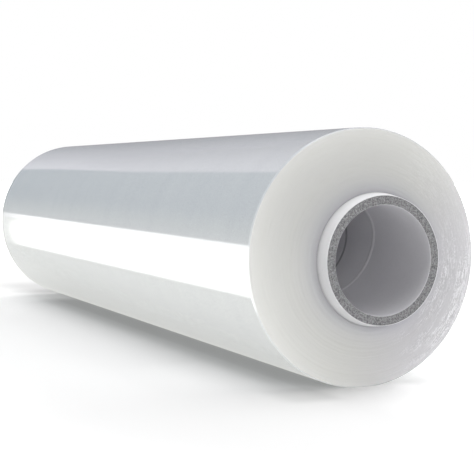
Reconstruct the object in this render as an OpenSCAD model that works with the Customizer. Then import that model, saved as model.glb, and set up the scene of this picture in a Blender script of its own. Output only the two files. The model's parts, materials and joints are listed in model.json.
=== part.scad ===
// Stretch wrap roll: clear film wound on a grey paperboard core with white outer plies.
// The roll lies along X, on the flat spot that its own weight presses into it.
// Millimetres. The origin is on the floor, under the middle of the roll.

/* [Film] */
// Outside diameter of the wound film
film_od = 122; // [100:1:220]
// Width of the film, between the outermost turns' edges
film_w = 457; // [150:1:600]
// How far the innermost turns stand out past the outermost ones, at each end
end_rise = 9; // [0:0.5:14]
// How that swelling fades towards the rim: 1 is a plain cone, more is a dish
end_fade = 1.6; // [1:0.1:2.5]
// Width of each band of turns that shows on an end
band_pitch = 2; // [1.2:0.1:5]
// How far a band of turns may have shifted along the core
band_shift = 0.3; // [0.05:0.05:0.6]
// Width of the soft step from one band to the next
band_step = 0.3; // [0.1:0.05:0.8]
// Radius of the soft rim of each end
rim_r = 1; // [0.4:0.1:3]
// Width of the flat spot under the roll
flat_w = 16; // [6:1:30]

/* [Core] */
// Bore of the core
core_bore = 50.8; // [25:0.1:77]
// Wall of the grey board
board_wall = 4.2; // [1.5:0.1:6]
// Thickness of the white plies wound over the board
ply_t = 1.3; // [0.3:0.1:2.5]
// What is left of the white plies at the cut end, where they are eased down
ply_lip = 0.15; // [0.05:0.05:0.25]
// How far the core shows past the innermost turns, at each end
core_show = 7; // [2:0.5:40]
// Width of the eased corner at each mouth of the bore
mouth_ease = 0.4; // [0.1:0.1:1]
// Clearance between one wound layer and the next
wind_gap = 0.05; // [0.02:0.01:0.2]

/* [Hidden] */

film_r = film_od / 2;
bore_r = core_bore / 2;
board_r = bore_r + board_wall;
ply_in_r = board_r + wind_gap;
ply_r = ply_in_r + ply_t;
wind_r = ply_r + wind_gap;
core_len = film_w + 2 * (end_rise + core_show);
axis_z = sqrt(film_r * film_r - flat_w * flat_w / 4);

// The bands of turns on each end lie between the core and the soft rim
band_n = max(3, round((film_r - rim_r - wind_r) / band_pitch));
band_w = (film_r - rim_r - wind_r) / band_n;
rim_steps = 4;
over = 1;
round_fn = 180;

// Each band wanders by a golden-angle step, so no two neighbours match
function wander(i) = band_shift * sin(137.5 * i) * (i == band_n - 1 ? 0 : 1);
function band_edge(i) = wind_r + i * band_w;
// Half a step is left free where two bands meet, and none at the core or the rim
function step_room(j) = (j == 0 || j == band_n) ? 0 : band_step / 2;
// Where band i starts, for k = 0, or stops, for k = 1
function band_stop(i, k) = band_edge(i + k) + (k == 0 ? 1 : -1) * step_room(i + k);
function swell(r) = end_rise * pow(max(0, (film_r - r) / (film_r - wind_r)), end_fade);

// One end's outline from the core to the rim, as [radius, distance from the middle]
// A band that stands out at one end sits in at the other, as side is 1 or -1
function end_line(side) = concat(
    [for (i = [0:band_n - 1], k = [0, 1])
        let (r = band_stop(i, k))
        [r, film_w / 2 + swell(r) + side * wander(i)]],
    [for (k = [1:rim_steps])
        let (a = 90 * k / rim_steps)
        [film_r - rim_r + rim_r * sin(a), film_w / 2 + swell(film_r - rim_r) - rim_r + rim_r * cos(a)]]
);
function flipped(line) = [for (i = [len(line) - 1:-1:0]) [line[i][0], -line[i][1]]];

// Turns an outline of [radius, length along the core] about the roll's axis
module on_axis() {
    translate([0, 0, axis_z]) rotate([0, 90, 0]) rotate_extrude($fn = round_fn) children();
}

// All the turns of film as one solid, pressed flat where it meets the floor
module film_roll() {
    color([0.86, 0.88, 0.90]) difference() {
        on_axis() polygon(concat(end_line(1), flipped(end_line(-1))));
        translate([-core_len / 2 - over, -film_r - over, -film_r])
            cube([core_len + 2 * over, film_od + 2 * over, film_r]);
    }
}

// Grey board wound into a tube, with eased corners at both mouths of the bore
module core_tube() {
    color([0.52, 0.52, 0.53]) translate([0, 0, axis_z]) rotate([0, 90, 0]) difference() {
        cylinder(h = core_len, r = board_r, center = true, $fn = round_fn);
        cylinder(h = core_len + 2 * over, r = bore_r, center = true, $fn = round_fn);
        for (end = [0, 1]) mirror([0, 0, end])
            translate([0, 0, core_len / 2 - mouth_ease])
                cylinder(h = mouth_ease, r1 = bore_r, r2 = bore_r + mouth_ease, $fn = round_fn);
    }
}

// White plies over the board, full under the film and eased down to each cut end
module outer_plies() {
    half = core_len / 2;
    full = half - core_show;
    color([0.93, 0.93, 0.94]) on_axis() polygon([
        [ply_in_r, -half],
        [ply_in_r + ply_lip, -half],
        [ply_r, -full],
        [ply_r, full],
        [ply_in_r + ply_lip, half],
        [ply_in_r, half]
    ]);
}

film_roll();
core_tube();
outer_plies();
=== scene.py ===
"""Dresses the stretch wrap roll: wound film, grey board core, white plies, floor, light and camera.

Lengths are in metres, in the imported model's own frame: X along the core, Z up, the floor at 0.
"""
import json
import logging
import math
from dataclasses import dataclass
from enum import Enum
from typing import Callable

import bmesh
import bpy
from mathutils import Matrix, Vector, noise


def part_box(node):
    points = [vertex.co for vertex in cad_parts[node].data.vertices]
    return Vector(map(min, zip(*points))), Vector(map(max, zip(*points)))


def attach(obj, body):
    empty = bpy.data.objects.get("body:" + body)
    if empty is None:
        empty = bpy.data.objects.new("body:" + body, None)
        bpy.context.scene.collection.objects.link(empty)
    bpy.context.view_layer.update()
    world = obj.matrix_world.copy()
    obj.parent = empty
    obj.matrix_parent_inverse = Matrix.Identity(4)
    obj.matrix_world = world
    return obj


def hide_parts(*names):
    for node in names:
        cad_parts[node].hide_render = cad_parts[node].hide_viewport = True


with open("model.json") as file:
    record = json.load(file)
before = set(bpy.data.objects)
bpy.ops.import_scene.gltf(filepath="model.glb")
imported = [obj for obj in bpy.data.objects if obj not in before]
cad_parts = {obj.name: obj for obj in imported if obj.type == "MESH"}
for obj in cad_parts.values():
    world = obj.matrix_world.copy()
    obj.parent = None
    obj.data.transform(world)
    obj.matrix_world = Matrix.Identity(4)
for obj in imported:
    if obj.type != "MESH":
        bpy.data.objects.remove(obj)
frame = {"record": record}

LOG = logging.getLogger("stretch_wrap_roll")
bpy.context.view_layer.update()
MM = 0.001
# Clearance between one wound layer and the next
WIND_GAP = 0.05 * MM
# How far the core's plies move along it in one turn
PLY_PITCH = 85 * MM
# How near two points are that count as one, and two lengths that count as the same
MERGE = 0.0001 * MM
TOUCH = 0.001 * MM

Colour = tuple[float, float, float]


class Face(Enum):
    """The kinds of surface on a piece, which is also the order of its material slots."""

    SIDE = 0
    END = 1
    BORE = 2


# Shader maths


class Wire:
    """One value in a material's nodes, written in Python as a number would be."""

    def __init__(self, shader: "Shader", socket: bpy.types.NodeSocket | None) -> None:
        """Keeps the shader, and the socket if the node has an output."""
        self.shader = shader
        self.socket = socket

    def math(self, operation: str, *values: "Wire | float") -> "Wire":
        """Adds a Math node.

        Args:
            operation: The Math node's operation.
            values: Its inputs, in order.

        Returns:
            The node's value.
        """
        return self.shader.add("ShaderNodeMath", {"operation": operation}, dict(enumerate(values)))

    def __add__(self, other: "Wire | float") -> "Wire":
        """Adds."""
        return self.math("ADD", self, other)

    def __radd__(self, other: float) -> "Wire":
        """Adds to a number."""
        return self.math("ADD", other, self)

    def __sub__(self, other: "Wire | float") -> "Wire":
        """Subtracts."""
        return self.math("SUBTRACT", self, other)

    def __rsub__(self, other: float) -> "Wire":
        """Subtracts from a number."""
        return self.math("SUBTRACT", other, self)

    def __mul__(self, other: "Wire | float") -> "Wire":
        """Multiplies."""
        return self.math("MULTIPLY", self, other)

    def __rmul__(self, other: float) -> "Wire":
        """Multiplies a number."""
        return self.math("MULTIPLY", other, self)

    def __truediv__(self, other: "Wire | float") -> "Wire":
        """Divides."""
        return self.math("DIVIDE", self, other)

    def __pow__(self, other: "Wire | float") -> "Wire":
        """Raises to a power."""
        return self.math("POWER", self, other)

    def size(self) -> "Wire":
        """Its distance from zero."""
        return self.math("ABSOLUTE", self)

    def sine(self) -> "Wire":
        """Its sine, for an angle in radians."""
        return self.math("SINE", self)

    def fold(self, period: float) -> "Wire":
        """Distance to the nearest whole multiple of a period."""
        return self.math("PINGPONG", self, period / 2)

    def ramp(self, low: float, high: float) -> "Wire":
        """Rises smoothly from 0 at low to 1 at high, or falls if low is the larger.

        Args:
            low: The value that gives 0.
            high: The value that gives 1.

        Returns:
            The risen value.
        """
        span = {"Value": self, "From Min": min(low, high), "From Max": max(low, high)}
        risen = self.shader.add("ShaderNodeMapRange", {"interpolation_type": "SMOOTHSTEP"}, span)
        return risen if low < high else 1.0 - risen

    def near(self, middle: float, full: float, none: float) -> "Wire":
        """Is 1 close to a middle value, and falls smoothly to 0 away from it.

        Args:
            middle: The middle value.
            full: The distance from it that still gives 1.
            none: The distance from it that gives 0.

        Returns:
            The closeness.
        """
        return (self - middle).size().ramp(none, full)


class Shader:
    """A material's or the world's nodes."""

    def __init__(self, tree: bpy.types.NodeTree) -> None:
        """Empties the tree.

        Args:
            tree: The node tree to fill.
        """
        self.tree = tree
        tree.nodes.clear()

    def add(self, kind: str, settings: dict, values: dict, out: int | str = 0) -> Wire:
        """Adds one node.

        Args:
            kind: The node's type.
            settings: Its own settings, set first. "stops" holds a ramp's (place, colour) pairs.
            values: A number, colour or Wire for each of its sockets, by name or place.
            out: The output to hand back.

        Returns:
            The chosen output.
        """
        node = self.tree.nodes.new(kind)
        for name, value in settings.items():
            if name == "stops":
                self._set_stops(node.color_ramp, value)
            else:
                setattr(node, name, value)
        for place, value in values.items():
            if isinstance(value, Wire):
                self.tree.links.new(value.socket, node.inputs[place])
            elif isinstance(value, tuple) and node.inputs[place].type == "RGBA":
                node.inputs[place].default_value = (*value, 1.0)
            else:
                node.inputs[place].default_value = value
        if not node.outputs:
            return Wire(self, None)
        return Wire(self, node.outputs[out])

    @staticmethod
    def _set_stops(ramp: bpy.types.ColorRamp, stops: list[tuple[float, Colour]]) -> None:
        """Gives a colour ramp its stops.

        Args:
            ramp: The ramp.
            stops: The (place, colour) pairs, in order.
        """
        while len(ramp.elements) > len(stops):
            ramp.elements.remove(ramp.elements[-1])
        while len(ramp.elements) < len(stops):
            ramp.elements.new(1.0)
        for element, (place, colour) in zip(ramp.elements, stops):
            element.position = place
            element.color = (*colour, 1.0)

    def blend(self, factor: "Wire | float", low: "Wire | Colour", high: "Wire | Colour") -> Wire:
        """Mixes two colours.

        Args:
            factor: How much of the second colour.
            low: The first colour.
            high: The second colour.

        Returns:
            The mixed colour.
        """
        return self.add("ShaderNodeMix", {"data_type": "RGBA"}, {0: factor, 6: low, 7: high}, 2)

    def shade(self, colour: Wire, amount: "Wire | float") -> Wire:
        """Makes a colour lighter or darker.

        Args:
            colour: The colour.
            amount: What each channel is multiplied by.

        Returns:
            The shaded colour.
        """
        return self.add("ShaderNodeVectorMath", {"operation": "SCALE"}, {0: colour, "Scale": amount})

    def gradient(self, value: Wire, stops: list[tuple[float, Colour]]) -> Wire:
        """A colour that follows a value through (place, colour) stops."""
        return self.add("ShaderNodeValToRGB", {"stops": stops}, {0: value})

    def part(self, vector: Wire, index: int) -> Wire:
        """One of a vector's three values."""
        return self.add("ShaderNodeSeparateXYZ", {}, {0: vector}, index)

    def vector(self, x: "Wire | float", y: "Wire | float", z: "Wire | float") -> Wire:
        """Joins three values in a vector."""
        return self.add("ShaderNodeCombineXYZ", {}, {0: x, 1: y, 2: z})

    def noise(self, place: Wire, scale: float, detail: float = 2.0, rough: float = 0.5) -> Wire:
        """Soft noise between 0 and 1.

        Args:
            place: Where it is read.
            scale: Its features for each unit of place.
            detail: Its octaves.
            rough: The weight of the finer octaves.

        Returns:
            The noise.
        """
        values = {"Vector": place, "Scale": scale, "Detail": detail, "Roughness": rough}
        return self.add("ShaderNodeTexNoise", {}, values, "Fac")

    def bump(self, height: Wire, depth: float, strength: float = 1.0) -> Wire:
        """A normal bent by a height.

        Args:
            height: The height, from 0 to 1.
            depth: What a height of 1 stands for, in metres.
            strength: How much of it shows.

        Returns:
            The bent normal.
        """
        return self.add("ShaderNodeBump", {}, {"Strength": strength, "Distance": depth, "Height": height})


@dataclass
class Around:
    """Where a point of a piece lies about the roll's axis.

    The turn is in radians from +Y, and the ring is the same turn as a unit vector.
    """

    along: Wire
    radius: Wire
    turn: Wire
    ring: Wire
    place: Wire

    @classmethod
    def of(cls, shader: Shader, axis_z: float) -> "Around":
        """Works out the places from Object coordinates.

        Args:
            shader: The nodes to add to.
            axis_z: The height of the roll's axis.

        Returns:
            The places.
        """
        place = shader.add("ShaderNodeTexCoord", {}, {}, "Object")
        across = shader.part(place, 1)
        up = shader.part(place, 2) - axis_z
        radius = (across * across + up * up) ** 0.5
        return cls(
            along=shader.part(place, 0), radius=radius, turn=up.math("ARCTAN2", up, across),
            ring=shader.vector(0.0, across / radius, up / radius), place=place,
        )

    def arcs(self, per_metre: float, swing: float) -> Wire:
        """Noise drawn out along the turns.

        Args:
            per_metre: Streaks for each metre of radius.
            swing: Changes for each radian of turn.

        Returns:
            The noise.
        """
        shader = self.place.shader
        ring = shader.add("ShaderNodeVectorMath", {"operation": "SCALE"}, {0: self.ring, "Scale": swing})
        across = shader.vector(self.radius * per_metre, 0.0, 0.0)
        place = shader.add("ShaderNodeVectorMath", {"operation": "ADD"}, {0: ring, 1: across})
        return shader.noise(place, 1.0, 3.0, 0.6)


# Finishes


def new_material(name: str) -> tuple[bpy.types.Material, Shader]:
    """Makes an empty material.

    Args:
        name: Its name.

    Returns:
        The material and its nodes.
    """
    material = bpy.data.materials.new(name)
    material.use_nodes = True
    return material, Shader(material.node_tree)


def close_material(shader: Shader, values: dict) -> None:
    """Ends a material with one Principled shader.

    Args:
        shader: The material's nodes.
        values: The Principled shader's sockets.
    """
    surface = shader.add("ShaderNodeBsdfPrincipled", {}, values)
    shader.add("ShaderNodeOutputMaterial", {}, {"Surface": surface})


@dataclass(frozen=True)
class SideFilm:
    """The outermost turn of film: many clear layers that together act as a soft mirror.

    The haze is finer than a pixel. It keeps the mirror's share from changing along one line.
    """

    axis_z: float
    clear: Colour = (0.915, 0.93, 0.94)
    milky: Colour = (0.90, 0.918, 0.93)
    mirror: float = 0.55
    roughness: float = 0.05
    wave_depth: float = 0.16 * MM

    def material(self) -> bpy.types.Material:
        """Builds the material, with the faint bands that the film's gauge leaves round the roll."""
        material, shader = new_material("film_side")
        here = Around.of(shader, self.axis_z)
        gauge = shader.noise(shader.vector(here.along, 0.0, 0.0), 55.0, 3.0)
        streak = shader.noise(shader.vector(here.along * 6.0, here.turn, 0.0), 40.0, 2.0)
        waves = shader.noise(here.place, 16.0, 1.0)
        haze = shader.noise(here.place, 4000.0, 0.0)
        close_material(shader, {
            "Base Color": shader.blend(gauge.ramp(0.35, 0.7), self.clear, self.milky),
            "Metallic": self.mirror + 0.04 * (gauge - 0.5) + 0.25 * (haze - 0.5),
            "Roughness": self.roughness + 0.02 * streak,
            "IOR": 1.5,
            "Coat IOR": 1.5,
            "Coat Roughness": 0.04,
            "Coat Weight": 0.3 + 0.2 * streak,
            "Normal": shader.bump(gauge * 0.2 + waves, self.wave_depth),
        })
        return material


@dataclass(frozen=True)
class EndFilm:
    """The cut edges of all the turns: milky, with rings of crinkled turns whose glints are painted, and
    painted shade in one sector.
    """

    axis_z: float
    core_r: float
    film_r: float
    glint_at: float = -0.45
    # Painted highlight: the glint colour is painted where the crinkled turns glint. Painted shade: the
    # shade colour darkens the same sector.
    glint: Colour = (0.80, 0.80, 0.82)
    shade: Colour = (0.33, 0.33, 0.35)
    sector_tint: Colour = (1.015, 1.0, 1.07)
    turn_depth: float = 0.3 * MM

    def material(self) -> bpy.types.Material:
        """Builds the material, with painted glints and painted shade in one sector, about glint_at."""
        material, shader = new_material("film_end")
        here = Around.of(shader, self.axis_z)
        depth = (here.radius - self.core_r) / (self.film_r - self.core_r)
        fine = shader.noise(shader.vector(here.radius * 3200.0, 0.0, 0.0), 1.0, 3.0, 0.65)
        arcs = here.arcs(1500.0, 5.0)
        turned = (here.turn - self.glint_at).size()
        sector = turned.ramp(1.5, 0.45)
        rough = turned.ramp(0.92, 0.40) * depth.ramp(0.0, 0.35) * self._crinkles(here, depth)
        rough = rough + 0.14 * here.turn.near(0.55, 0.35, 0.75) * depth.ramp(0.10, 0.45)
        specks = here.arcs(1900.0, 10.0) * 0.65 + shader.noise(here.place, 1100.0, 2.0) * 0.35
        # Painted glints: the crinkled turns' glints are painted into the colour, and the same mask also
        # makes those turns glossier and bumpier.
        crinkle_gloss_and_painted_glint = rough * specks.ramp(0.47, 0.58)
        # Painted shade over the glinting sector and on the dark strokes between the crinkles.
        painted_shade_mask = sector * depth.ramp(0.15, 0.4) * 0.11 + rough * specks.ramp(0.49, 0.38) * 0.45
        colour = self._milk_and_painted_shading(shader, here, depth, fine)
        tint = shader.blend(sector, (1.0, 1.0, 1.0), self.sector_tint)
        colour = shader.add("ShaderNodeVectorMath", {"operation": "MULTIPLY"}, {0: colour, 1: tint})
        colour = shader.blend(painted_shade_mask * depth.ramp(1.15, 0.80), colour, self.shade)
        colour = shader.blend(crinkle_gloss_and_painted_glint * 0.85, colour, self.glint)
        close_material(shader, {
            "Base Color": colour,
            "Roughness": 0.40 + 0.2 * arcs - 0.18 * crinkle_gloss_and_painted_glint,
            "IOR": 1.5,
            "Coat Roughness": 0.12,
            "Coat Weight": arcs.ramp(0.52, 0.66) * 0.3 + crinkle_gloss_and_painted_glint * 0.6,
            "Normal": shader.bump(fine * 0.4 + arcs * 0.6 + crinkle_gloss_and_painted_glint, self.turn_depth, 0.5),
        })
        return material

    @staticmethod
    def _milk_and_painted_shading(shader: Shader, here: Around, depth: Wire, fine: Wire) -> Wire:
        """The milky colour under the crinkles, darker towards the core, partly its own tone and partly
        painted shade from the core, and lighter on the lower part, which is painted light from the floor.

        Args:
            shader: The nodes to add to.
            here: Where the point is.
            depth: Its place from the core, 0, to the rim, 1.
            fine: The noise from one turn to the next.

        Returns:
            The colour.
        """
        patch = shader.noise(here.place, 28.0, 2.0)
        # Painted light: the lower part is lightened as if lit from the floor.
        lower = (0.0 - (here.turn + 0.6).sine()).ramp(0.0, 1.0)
        # Partly painted shade: the colour darkens from rim to core as if shaded by the core.
        colour = shader.gradient(depth, [
            (0.0, (0.305, 0.305, 0.32)), (0.08, (0.355, 0.355, 0.365)), (0.20, (0.405, 0.405, 0.40)),
            (0.39, (0.44, 0.44, 0.425)), (0.61, (0.47, 0.47, 0.455)), (0.85, (0.52, 0.52, 0.50)),
            (1.0, (0.565, 0.565, 0.55)),
        ])
        return shader.shade(colour, 0.965 + 0.03 * fine + 0.05 * (patch - 0.5) + 0.15 * lower)

    @staticmethod
    def _crinkles(here: Around, depth: Wire) -> Wire:
        """How crinkled the turns are, in bands and most of all in an outer and an inner ridge.

        Args:
            here: Where the point is.
            depth: Its place from the core, 0, to the rim, 1.

        Returns:
            The amount.
        """
        bands = here.arcs(300.0, 3.0).ramp(0.46, 0.57) * 0.5
        outer_ridge = depth.near(0.84, 0.05, 0.16) * here.turn.near(-0.42, 0.25, 0.60)
        inner_ridge = depth.near(0.36, 0.03, 0.14) * here.turn.near(-0.28, 0.10, 0.34)
        return 0.10 + 0.85 * (bands + 0.6 * outer_ridge + 0.5 * inner_ridge)


@dataclass(frozen=True)
class CutBoard:
    """The cut end of the grey board: fibres, specks and the lines between its plies."""

    axis_z: float
    grey: Colour = (0.24, 0.24, 0.245)
    dark: Colour = (0.112, 0.112, 0.117)
    light: Colour = (0.43, 0.43, 0.43)
    ply_step: float = 0.62 * MM
    ply_line: float = 0.06 * MM
    fibre_depth: float = 0.3 * MM

    def material(self) -> bpy.types.Material:
        """Builds the material, with fibres that lie partly along the plies."""
        material, shader = new_material("board_end")
        here = Around.of(shader, self.axis_z)
        fibre = shader.noise(here.place, 1500.0, 3.0, 0.7) * 0.85 + here.arcs(1700.0, 26.0) * 0.5 - 0.175
        clump = shader.noise(here.place, 480.0, 2.0)
        plies = here.radius.fold(self.ply_step).ramp(self.ply_line, 0.0)
        colour = shader.blend(fibre.ramp(0.38, 0.56), self.dark, self.grey)
        colour = shader.blend(fibre.ramp(0.58, 0.75) * 0.8, colour, self.light)
        colour = shader.shade(colour, 0.86 + 0.28 * clump - 0.16 * plies)
        close_material(shader, {
            "Base Color": colour,
            "Roughness": 0.95,
            "Specular IOR Level": 0.2,
            "Normal": shader.bump(fibre + clump * 0.6 - plies * 0.4, self.fibre_depth, 0.7),
        })
        return material


@dataclass(frozen=True)
class BoreLiner:
    """The smooth inner ply, wound in a helix whose edges show as one light and one dark line."""

    axis_z: float
    tip_x: float
    paper: Colour = (0.62, 0.615, 0.64)
    line: Colour = (0.84, 0.835, 0.85)
    gap: Colour = (0.20, 0.20, 0.21)
    pitch: float = PLY_PITCH
    light_at: float = 52 * MM
    dark_at: float = 78.5 * MM
    wobble: float = 1.5 * MM
    edge_depth: float = 0.25 * MM

    def material(self) -> bpy.types.Material:
        """Builds the material, with both edges of the ply as helices."""
        material, shader = new_material("board_bore")
        here = Around.of(shader, self.axis_z)
        wobble = (shader.noise(here.place, 40.0, 1.0) - 0.5) * self.wobble
        helix = here.along - here.turn * (self.pitch / math.tau) + wobble
        light = (helix - (self.tip_x - self.light_at)).fold(self.pitch)
        dark = (helix - (self.tip_x - self.dark_at)).fold(self.pitch)
        inside = self.tip_x - here.along.size()
        light_line = light.ramp(1.7 * MM, 0.5 * MM)
        dark_line = dark.ramp(1.4 * MM, 0.4 * MM) * inside.ramp(35 * MM, 60 * MM)
        weave = shader.noise(here.place, 700.0, 3.0, 0.6)
        cloud = shader.noise(here.place, 60.0, 2.0)
        colour = shader.blend(light_line * 0.6, self.paper, self.line)
        colour = shader.blend(dark_line * 0.65, colour, self.gap)
        # Painted light: the liner is lightened deeper in the bore.
        painted_light_deeper = inside.ramp(40 * MM, 120 * MM)
        colour = shader.shade(colour, 0.93 + 0.08 * weave + 0.08 * cloud + 0.1 * painted_light_deeper)
        close_material(shader, {
            "Base Color": colour,
            "Roughness": 0.72 + 0.1 * weave,
            "Specular IOR Level": 0.35,
            "Normal": shader.bump(light_line - dark_line + weave * 0.2, self.edge_depth, 0.8),
        })
        return material


@dataclass(frozen=True)
class WhitePaper:
    """The smooth white outer ply, with the faint helical line where its edges meet."""

    axis_z: float
    tip_x: float
    paper: Colour = (0.775, 0.775, 0.79)
    line: Colour = (0.52, 0.52, 0.53)
    pitch: float = PLY_PITCH
    seam_at: float = 20.5 * MM
    tooth_depth: float = 0.1 * MM

    def material(self) -> bpy.types.Material:
        """Builds the material, darker at its cut edge, with painted shade towards the film."""
        material, shader = new_material("white_plies")
        here = Around.of(shader, self.axis_z)
        helix = here.along - here.turn * (self.pitch / math.tau)
        seam = (helix - (self.tip_x - self.seam_at)).fold(self.pitch).ramp(0.5 * MM, 0.2 * MM)
        tooth = shader.noise(here.place, 900.0, 3.0, 0.6)
        cloud = shader.noise(here.place, 90.0, 2.0)
        specks = shader.noise(here.place, 650.0, 2.0).ramp(0.66, 0.76)
        inwards = self.tip_x - here.along.size()
        cut = inwards.ramp(0.9 * MM, 0.2 * MM)
        # Painted shade: the collar darkens towards the film, as if shaded where it meets it.
        root = 0.14 * inwards.ramp(2.6 * MM, 6.8 * MM) + 0.17 * inwards.ramp(5.4 * MM, 7.0 * MM)
        grain = 0.04 * tooth + 0.04 * cloud - 0.12 * specks
        colour = shader.blend(seam * 0.5, self.paper, self.line)
        colour = shader.shade(colour, 0.965 + grain - 0.05 * cut - root)
        close_material(shader, {
            "Base Color": colour,
            "Roughness": 0.55 + 0.15 * tooth,
            "Specular IOR Level": 0.4,
            "Normal": shader.bump(tooth * 0.4 - seam, self.tooth_depth, 0.6),
        })
        return material


# Pieces


def off_axis(place: Vector, axis_z: float) -> float:
    """A point's distance from the roll's axis."""
    return math.hypot(place.y, place.z - axis_z)


def spun_section(
    corners: list[tuple[float, float]], cuts: list[int], steps: int, axis_z: float,
) -> bmesh.types.BMesh:
    """Turns a closed section about the roll's axis.

    Args:
        corners: The section's corners, as (length along X, radius).
        cuts: How often each side of the section is cut, from each corner to the next.
        steps: How many steps make the full turn.
        axis_z: The height of the roll's axis.

    Returns:
        The closed mesh, with its faces pointing outwards.
    """
    mesh = bmesh.new()
    verts = [mesh.verts.new((x, 0.0, axis_z + r)) for x, r in corners]
    sides = [mesh.edges.new((a, b)) for a, b in zip(verts, verts[1:] + verts[:1])]
    for side, count in zip(sides, cuts):
        if count:
            bmesh.ops.subdivide_edges(mesh, edges=[side], cuts=count)
    outline = mesh.verts[:] + mesh.edges[:]
    bmesh.ops.spin(
        mesh, geom=outline, cent=(0.0, 0.0, axis_z), axis=(1.0, 0.0, 0.0), dvec=(0.0, 0.0, 0.0),
        angle=math.tau, steps=steps, use_merge=True, use_duplicate=False,
    )
    bmesh.ops.remove_doubles(mesh, verts=mesh.verts, dist=MERGE)
    bmesh.ops.recalc_face_normals(mesh, faces=mesh.faces)
    return mesh


def soften(
    mesh: bmesh.types.BMesh, chosen: Callable[[bmesh.types.BMEdge], bool], width: float, segments: int,
) -> None:
    """Rounds the chosen edges.

    Args:
        mesh: The mesh.
        chosen: Says which edges are rounded.
        width: The radius.
        segments: How many faces the round has.
    """
    edges = [edge for edge in mesh.edges if chosen(edge)]
    bmesh.ops.bevel(
        mesh, geom=edges, offset=width, offset_type="OFFSET", affect="EDGES",
        segments=segments, profile=0.5, material=-1, clamp_overlap=True,
    )
    mesh.normal_update()


def finished(
    mesh: bmesh.types.BMesh, name: str, materials: list[bpy.types.Material],
) -> bpy.types.Object:
    """Makes the object that a mesh is for.

    Args:
        mesh: The mesh, which is freed.
        name: The piece's name.
        materials: Its materials, in the order of its faces' slots.

    Returns:
        The object, which rides on the roll.
    """
    data = bpy.data.meshes.new(name)
    for face in mesh.faces:
        face.smooth = True
    mesh.to_mesh(data)
    mesh.free()
    for material in materials:
        data.materials.append(material)
    piece = bpy.data.objects.new(name, data)
    bpy.context.scene.collection.objects.link(piece)
    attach(piece, "root")
    LOG.info("%s: %d vertices", name, len(data.vertices))
    return piece


@dataclass
class WoundFilm:
    """All the turns of film, with swollen ends, a soft rim and a flat spot on the floor.

    The width is that of the outermost turns. The values from end_line to shift_fade are distances
    in from the rim, in rim radii: to the mesh's last ring on an end and on the side, to the border
    of the end's finish, to the last of what swells with the end, and to where its shifts are full.
    """

    axis_z: float
    film_r: float
    core_r: float
    film_w: float = 457 * MM
    end_rise: float = 9 * MM
    end_fade: float = 1.6
    rim_r: float = 1 * MM
    end_line: float = 1.3
    side_line: float = 2.5
    end_start: float = 0.45
    end_reach: float = 1.4
    shift_fade: float = 2.0
    rim_segments: int = 6
    end_rings: int = 84
    side_rings: int = 40
    steps: int = 320
    turn_shift: float = 0.12 * MM
    turn_width: float = 1.1 * MM
    sway: float = 0.10 * MM
    sway_width: float = 22 * MM

    @property
    def half_w(self) -> float:
        """Half the width."""
        return self.film_w / 2

    def swell(self, radius: float) -> float:
        """How far the end stands out at a radius.

        Args:
            radius: The distance from the axis.

        Returns:
            The distance past the outermost turns.
        """
        inward = (self.film_r - radius) / (self.film_r - self.core_r)
        return self.end_rise * max(0.0, inward) ** self.end_fade

    def build(self) -> bpy.types.Object:
        """Builds the film.

        Returns:
            The piece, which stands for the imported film.
        """
        near_rim = self.film_r - self.end_line * self.rim_r
        half = self.half_w
        inset = half - self.side_line * self.rim_r
        corners = [
            (-half, self.core_r), (-half, near_rim), (-half, self.film_r), (-inset, self.film_r),
            (inset, self.film_r), (half, self.film_r), (half, near_rim), (half, self.core_r),
        ]
        cuts = [self.end_rings, 0, 1, self.side_rings, 1, 0, self.end_rings, 0]
        mesh = spun_section(corners, cuts, self.steps, self.axis_z)
        soften(mesh, self._is_rim, self.rim_r, self.rim_segments)
        for face in mesh.faces:
            face.material_index = self._kind(face).value
        for vert in mesh.verts:
            self._settle(vert)
        piece = finished(mesh, "wound_film", self._materials())
        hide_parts("film_roll")
        return piece

    def _materials(self) -> list[bpy.types.Material]:
        """The side's and the ends' materials."""
        side = SideFilm(self.axis_z).material()
        end = EndFilm(self.axis_z, self.core_r, self.film_r).material()
        return [side, end]

    def _is_rim(self, edge: bmesh.types.BMEdge) -> bool:
        """Whether an edge runs round a sharp rim."""
        return all(
            abs(abs(vert.co.x) - self.half_w) < TOUCH
            and off_axis(vert.co, self.axis_z) > self.film_r - TOUCH
            for vert in edge.verts
        )

    def _kind(self, face: bmesh.types.BMFace) -> Face:
        """Whether a face is on the side or on an end."""
        end_r = self.film_r - self.end_start * self.rim_r
        on_side = off_axis(face.calc_center_median(), self.axis_z) > end_r
        return Face.SIDE if on_side else Face.END

    def _settle(self, vert: bmesh.types.BMVert) -> None:
        """Swells the ends, shifts the turns and presses the flat spot.

        Args:
            vert: The vertex to move.
        """
        radius = off_axis(vert.co, self.axis_z)
        if abs(vert.co.x) > self.half_w - self.end_reach * self.rim_r:
            side = math.copysign(1.0, vert.co.x)
            fade = min(1.0, (self.film_r - radius) / (self.shift_fade * self.rim_r))
            band = noise.noise(Vector((radius / self.turn_width, 0.0, side)))
            here = Vector((vert.co.y, vert.co.z, 0.0)) / self.sway_width
            sway = noise.noise(here + Vector((0.0, 0.0, 3.0 * side)))
            shift = self.turn_shift * band + self.sway * sway
            vert.co.x += side * (self.swell(radius) + fade * shift)
        vert.co.z = max(vert.co.z, 0.0)


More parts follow.
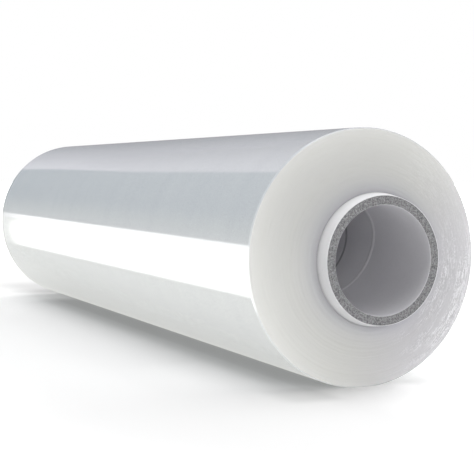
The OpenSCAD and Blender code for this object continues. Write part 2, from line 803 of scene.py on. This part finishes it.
@dataclass
class BoardTube:
    """The grey board tube, cut square, with eased corners at its mouths.

    A face is part of a cut end if its normal's share of X is over end_facing.
    """

    axis_z: float
    bore_r: float
    board_r: float
    half_len: float
    mouth_ease: float = 0.4 * MM
    mouth_segments: int = 3
    end_facing: float = 0.85
    fray: float = 0.14 * MM
    fray_width: float = 1.3 * MM
    end_rings: int = 16
    bore_rings: int = 96
    steps: int = 256

    def build(self) -> bpy.types.Object:
        """Builds the tube.

        Returns:
            The piece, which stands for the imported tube.
        """
        half = self.half_len
        corners = [(-half, self.bore_r), (-half, self.board_r), (half, self.board_r), (half, self.bore_r)]
        cuts = [self.end_rings, 0, self.end_rings, self.bore_rings]
        mesh = spun_section(corners, cuts, self.steps, self.axis_z)
        soften(mesh, self._is_mouth, self.mouth_ease, self.mouth_segments)
        for face in mesh.faces:
            face.material_index = self._kind(face).value
        for vert in mesh.verts:
            self._fray(vert)
        materials = [CutBoard(self.axis_z).material()] * 2 + [BoreLiner(self.axis_z, half).material()]
        piece = finished(mesh, "board_tube", materials)
        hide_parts("core_tube")
        return piece

    def _is_mouth(self, edge: bmesh.types.BMEdge) -> bool:
        """Whether an edge runs round a mouth of the bore."""
        return all(
            abs(vert.co.x) > self.half_len - TOUCH
            and off_axis(vert.co, self.axis_z) < self.bore_r + TOUCH
            for vert in edge.verts
        )

    def _kind(self, face: bmesh.types.BMFace) -> Face:
        """Whether a face is on the outside, on a cut end or in the bore."""
        if abs(face.normal.x) > self.end_facing:
            return Face.END
        middle_r = (self.bore_r + self.board_r) / 2
        outside = off_axis(face.calc_center_median(), self.axis_z) > middle_r
        return Face.SIDE if outside else Face.BORE

    def _fray(self, vert: bmesh.types.BMVert) -> None:
        """Roughens a cut end, which the saw leaves slightly uneven.

        Args:
            vert: The vertex to move.
        """
        if abs(vert.co.x) > self.half_len - 10 * TOUCH:
            rough = abs(noise.noise(vert.co / self.fray_width))
            vert.co.x -= math.copysign(self.fray * rough, vert.co.x)


@dataclass
class WhitePlies:
    """The white plies over the board, eased down to it at each cut end."""

    axis_z: float
    board_r: float
    ply_r: float
    half_len: float
    core_show: float = 7 * MM
    lip: float = 0.15 * MM
    ease_rings: int = 10
    side_rings: int = 4
    steps: int = 256

    def build(self) -> bpy.types.Object:
        """Builds the plies.

        Returns:
            The piece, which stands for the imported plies.
        """
        half = self.half_len
        full = half - self.core_show
        inner = self.board_r
        corners = [
            (-half, inner), (-half, inner + self.lip), (-full, self.ply_r),
            (full, self.ply_r), (half, inner + self.lip), (half, inner),
        ]
        cuts = [0, self.ease_rings, self.side_rings, self.ease_rings, 0, 0]
        mesh = spun_section(corners, cuts, self.steps, self.axis_z)
        paper = WhitePaper(self.axis_z, half).material()
        piece = finished(mesh, "white_collars", [paper])
        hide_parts("outer_plies")
        return piece


# Studio


@dataclass(frozen=True)
class Softbox:
    """A patch of the sky that lights the roll, unseen by the camera and by reflections."""

    heading: float
    low: float
    high: float
    light_level: float
    half_width: float = 30.0
    edge: float = 8.0

    def light(self, heading: Wire, tilt: Wire) -> Wire:
        """How bright the patch is.

        Args:
            heading: The heading that is looked along, in radians from +X.
            tilt: The height above the horizon that is looked at, in radians.

        Returns:
            The brightness in that direction.
        """
        turned = heading - math.radians(self.heading)
        off = turned.math("WRAP", turned, math.pi, -math.pi).size()
        low, high, half, edge = (math.radians(v) for v in (self.low, self.high, self.half_width, self.edge))
        wide = off.ramp(half + edge / 2, half - edge / 2)
        tall = tilt.ramp(low - edge / 2, low + edge / 2) * tilt.ramp(high + edge / 2, high - edge / 2)
        return self.light_level * wide * tall


@dataclass(frozen=True)
class FloorPaper:
    """White paper that stays white to the camera, with painted shadows and painted light about the roll,
    and a painted bright sweep that glows only in reflections.

    Places on it are read from the roll: ahead is X, across is Y, away is the distance from the
    line under the axis, and clear is the distance from that line's stretch between the ends.
    """

    end_x: float = 0.225
    # Painted shadow: shaded is the paper's colour close under the roll.
    shaded: Colour = (0.77, 0.77, 0.77)
    open: Colour = (0.88, 0.88, 0.88)
    reflected_glow: Colour = (1.0, 1.01, 0.98)

    def material(self) -> bpy.types.Material:
        """Builds the material."""
        material, shader = new_material("floor")
        place = shader.add("ShaderNodeTexCoord", {}, {}, "Object")
        ahead = shader.part(place, 0)
        across = shader.part(place, 1)
        past = ahead.math("MAXIMUM", ahead.size() - self.end_x, 0.0)
        clear = (past * past + across * across) ** 0.5
        reach = shader.add("ShaderNodeVectorMath", {"operation": "LENGTH"}, {0: place}, "Value")
        camera = shader.add("ShaderNodeLightPath", {}, {}, "Is Camera Ray")
        glossy = shader.add("ShaderNodeLightPath", {}, {}, "Is Glossy Ray")
        seen = camera * (self._glow(ahead, across, clear) + reach.ramp(0.40, 1.1))
        white = self._paper_with_painted_shadows(shader, ahead, across.size(), clear)
        paper = shader.add("ShaderNodeBsdfDiffuse", {}, {"Color": white})
        glow = shader.add("ShaderNodeEmission", {}, {"Color": (1.0, 1.0, 1.0), "Strength": seen})
        both = shader.add("ShaderNodeAddShader", {}, {0: paper, 1: glow})
        # Painted reflection: reflected rays see the paper as a glow of its own, not as lit paper.
        mirrored = {"Color": self.reflected_glow, "Strength": self._mirrored(ahead, across)}
        reflected_glow = shader.add("ShaderNodeEmission", {}, mirrored)
        surface = shader.add("ShaderNodeMixShader", {}, {0: glossy, 1: both, 2: reflected_glow})
        shader.add("ShaderNodeOutputMaterial", {}, {"Surface": surface})
        return material

    @staticmethod
    def _glow(ahead: Wire, across: Wire, clear: Wire) -> Wire:
        """What lifts the paper to white for the camera, past the roll's own shadow, with painted light that
        lightens parts of that shadow by the roll's ends and sides.

        Args:
            ahead: The place along the roll.
            across: The place across it.
            clear: The distance from it.

        Returns:
            The strength.
        """
        away = across.size()
        # Painted light: these glows lighten parts of the roll's shadow for the camera.
        far_side = 0.27 * across.ramp(-0.03, 0.02) * ahead.ramp(-0.30, -0.16)
        near_foot = 0.12 * ahead.near(0.227, 0.008, 0.026) * across.ramp(0.005, 0.028)
        far_half = 0.06 * ahead.ramp(-0.06, -0.18) * clear.ramp(0.035, 0.065)
        far_foot = 0.15 * ahead.near(-0.215, 0.015, 0.045)
        far_foot = far_foot * away.ramp(0.008, 0.020) * away.ramp(0.085, 0.030)
        edge = 0.06 * ahead.ramp(0.24, 0.16) + 0.035 * ahead.near(0.175, 0.025, 0.050)
        edge = edge * clear.ramp(0.032, 0.046) * clear.ramp(0.095, 0.060)
        return far_side + near_foot + far_half + far_foot + edge + 0.16 * clear.ramp(0.13, 0.24)

    @staticmethod
    def _mirrored(ahead: Wire, across: Wire) -> Wire:
        """How bright the paper glows in reflections, a painted reflection: the roll's painted dark foot,
        then a bright band.

        Args:
            ahead: The place along the roll.
            across: The place across it.

        Returns:
            The strength.
        """
        away = across.size()
        far_rim = (ahead + 3.78 * away).ramp(-0.005, -0.065)
        band = 0.66 * away.ramp(0.099, 0.107) * (1.0 - 0.87 * far_rim)
        near_side = (0.23 + 0.16 * away.ramp(0.02, 0.095) + band) * across.ramp(0.02, -0.02)
        return 0.45 + near_side + 0.11 * ahead.ramp(-0.12, -0.32) * away.ramp(0.078, 0.045)

    def _paper_with_painted_shadows(self, shader: Shader, ahead: Wire, away: Wire, clear: Wire) -> Wire:
        """The paper's colour, with painted shadows where the roll stands on it and about its ends.

        Args:
            shader: The nodes to add to.
            ahead: The place along the roll.
            away: The distance from the line under its axis.
            clear: The distance from the roll.

        Returns:
            The colour.
        """
        # Painted shadows: darker at the roll's foot, past its far end and by its near end, on top of the
        # shaded colour under it.
        painted_contact_shadow = clear.ramp(0.0315, 0.0270) * ahead.ramp(0.235, 0.215)
        far_end = ahead.ramp(-0.228, -0.250) * ahead.ramp(-0.350, -0.285) * away.ramp(0.060, 0.020)
        painted_near_end_shadow = ahead.near(0.236, 0.008, 0.020) * away.ramp(0.020, 0.028) * away.ramp(0.056, 0.042)
        colour = shader.blend(clear.ramp(0.015, 0.05), self.shaded, self.open)
        return shader.shade(colour, 1.0 - 0.06 * painted_contact_shadow - 0.25 * far_end - 0.12 * painted_near_end_shadow)


@dataclass(frozen=True)
class StudioSky:
    """White to the camera, soft to the roll, and a ring of cards in its reflections.

    A card's turn is about X, in half turns from the horizon on the camera's side. The window is
    the bright card at the horizon, and the join is where the lower cards meet the upper ones.
    """

    window: Colour = (1.35, 1.35, 1.35)
    window_top: float = 0.026
    window_edge: float = 0.033
    join: float = 0.450
    join_width: float = 0.008
    overhead: float = 2.56
    overhead_from: float = math.radians(56)
    overhead_full: float = math.radians(64)
    softboxes: tuple[Softbox, ...] = (
        Softbox(0.0, -5.0, 25.0, 5.0), Softbox(0.0, 25.0, 60.0, 0.64),
        Softbox(120.0, -5.0, 25.0, 1.5), Softbox(180.0, -5.0, 25.0, 2.6),
        Softbox(120.0, 25.0, 60.0, 1.74), Softbox(240.0, 25.0, 60.0, 0.55),
    )

    def build(self) -> None:
        """Makes the world."""
        world = bpy.data.worlds.new("studio")
        world.use_nodes = True
        bpy.context.scene.world = world
        shader = Shader(world.node_tree)
        way = shader.add("ShaderNodeTexCoord", {}, {}, "Generated")
        camera = shader.add("ShaderNodeLightPath", {}, {}, "Is Camera Ray")
        glossy = shader.add("ShaderNodeLightPath", {}, {}, "Is Glossy Ray")
        colour = shader.blend(glossy, self._light(shader, way), self._cards(shader, way))
        colour = shader.blend(camera, colour, (1.0, 1.0, 1.0))
        sky = shader.add("ShaderNodeBackground", {}, {"Color": colour, "Strength": 1.0})
        shader.add("ShaderNodeOutputWorld", {}, {"Surface": sky})

    def _light(self, shader: Shader, way: Wire) -> Wire:
        """What lights the roll and the floor.

        Args:
            shader: The nodes to add to.
            way: The direction that is looked in.

        Returns:
            The colour.
        """
        tilt = shader.part(way, 2).math("ARCSINE", shader.part(way, 2))
        heading = way.math("ARCTAN2", shader.part(way, 1), shader.part(way, 0))
        level = self.overhead * tilt.ramp(self.overhead_from, self.overhead_full)
        for box in self.softboxes:
            level = level + box.light(heading, tilt)
        return shader.shade(shader.vector(1.0, 1.0, 1.0), level)

    def _cards(self, shader: Shader, way: Wire) -> Wire:
        """What the roll's shiny side mirrors, a little different at its far end.

        Args:
            shader: The nodes to add to.
            way: The direction that is looked in.

        Returns:
            The colour.
        """
        ahead = shader.part(way, 0)
        turn = way.math("ARCTAN2", shader.part(way, 2), 0.0 - shader.part(way, 1)) / math.pi
        lower = shader.gradient(turn, [
            (0.0, self.window), (self.window_top, self.window), (self.window_edge, (0.62, 0.64, 0.65)),
            (0.05, (0.55, 0.575, 0.585)), (0.10, (0.50, 0.532, 0.545)), (0.20, (0.395, 0.438, 0.475)),
        ])
        upper = shader.gradient(turn, [
            (0.42, (0.59, 0.595, 0.64)), (0.48, (0.58, 0.585, 0.63)), (0.62, (0.445, 0.45, 0.49)),
            (0.80, (0.35, 0.36, 0.39)), (1.0, (0.36, 0.36, 0.38)),
        ])
        far_end = ahead.ramp(-0.938, -0.965)
        far_rim = ahead.ramp(-0.9685, -0.9700) * turn.ramp(self.window_edge, self.window_top)
        lower = shader.shade(lower, 1.0 - 0.30 * far_rim)
        upper = shader.shade(upper, 1.0 + 0.14 * far_end)
        met = (turn - 0.030 * far_end).ramp(self.join, self.join + self.join_width)
        return shader.blend(met, lower, upper)


@dataclass
class Studio:
    """The floor, the light and the camera that the photograph was taken with."""

    eye: tuple[float, float, float] = (0.68288, -0.28051, 0.09894)
    heading: float = math.radians(154.77)
    pitch: float = math.radians(-3.123)
    roll: float = math.radians(0.41)
    focal_px: float = 1139.5
    frame_px: float = 474.0
    sensor: float = 36.0
    floor_reach: float = 12.0

    def build(self) -> None:
        """Sets up everything that isn't the object."""
        self._floor()
        StudioSky().build()
        self._camera()
        bpy.context.scene.view_settings.view_transform = "Standard"

    def _camera(self) -> None:
        """Places the camera where the photograph's outlines put it."""
        data = bpy.data.cameras.new("camera")
        data.sensor_width = self.sensor
        data.lens = self.focal_px * self.sensor / self.frame_px
        data.clip_start = 10 * MM
        camera = bpy.data.objects.new("camera", data)
        facing = Matrix.Rotation(self.heading - math.pi / 2, 4, "Z")
        tilted = Matrix.Rotation(math.pi / 2 + self.pitch, 4, "X")
        rolled = Matrix.Rotation(self.roll, 4, "Z")
        camera.matrix_world = Matrix.Translation(self.eye) @ facing @ tilted @ rolled
        bpy.context.scene.collection.objects.link(camera)
        bpy.context.scene.camera = camera

    def _floor(self) -> None:
        """Lays the white floor, which keeps the roll's shadow."""
        mesh = bmesh.new()
        bmesh.ops.create_grid(mesh, x_segments=2, y_segments=2, size=self.floor_reach)
        data = bpy.data.meshes.new("floor")
        mesh.to_mesh(data)
        mesh.free()
        data.materials.append(FloorPaper().material())
        floor = bpy.data.objects.new("floor", data)
        bpy.context.scene.collection.objects.link(floor)


def corner(box: tuple) -> tuple[Vector, Vector]:
    """The lowest and highest corners of a box as vectors."""
    return Vector(box[0]), Vector(box[1])


def main() -> None:
    """Builds the pieces and the studio."""
    logging.basicConfig(level=logging.INFO)
    bore = next(mount for mount in frame["record"]["mounts"] if mount["name"] == "core_bore")
    bore_r = bore["dims"]["r_mm"] * MM
    axis_z = bore["pos_m"][2]
    film_low, film_high = corner(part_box("film_roll"))
    tube_low, tube_high = corner(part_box("core_tube"))
    plies_low, plies_high = corner(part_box("outer_plies"))
    film_r = (film_high.y - film_low.y) / 2
    board_r = (tube_high.y - tube_low.y) / 2
    ply_r = (plies_high.y - plies_low.y) / 2
    half_len = (tube_high.x - tube_low.x) / 2
    WoundFilm(axis_z, film_r, ply_r + WIND_GAP).build()
    BoardTube(axis_z, bore_r, board_r, half_len).build()
    WhitePlies(axis_z, board_r + WIND_GAP, ply_r, half_len).build()
    Studio().build()


if __name__ == "__main__":
    main()
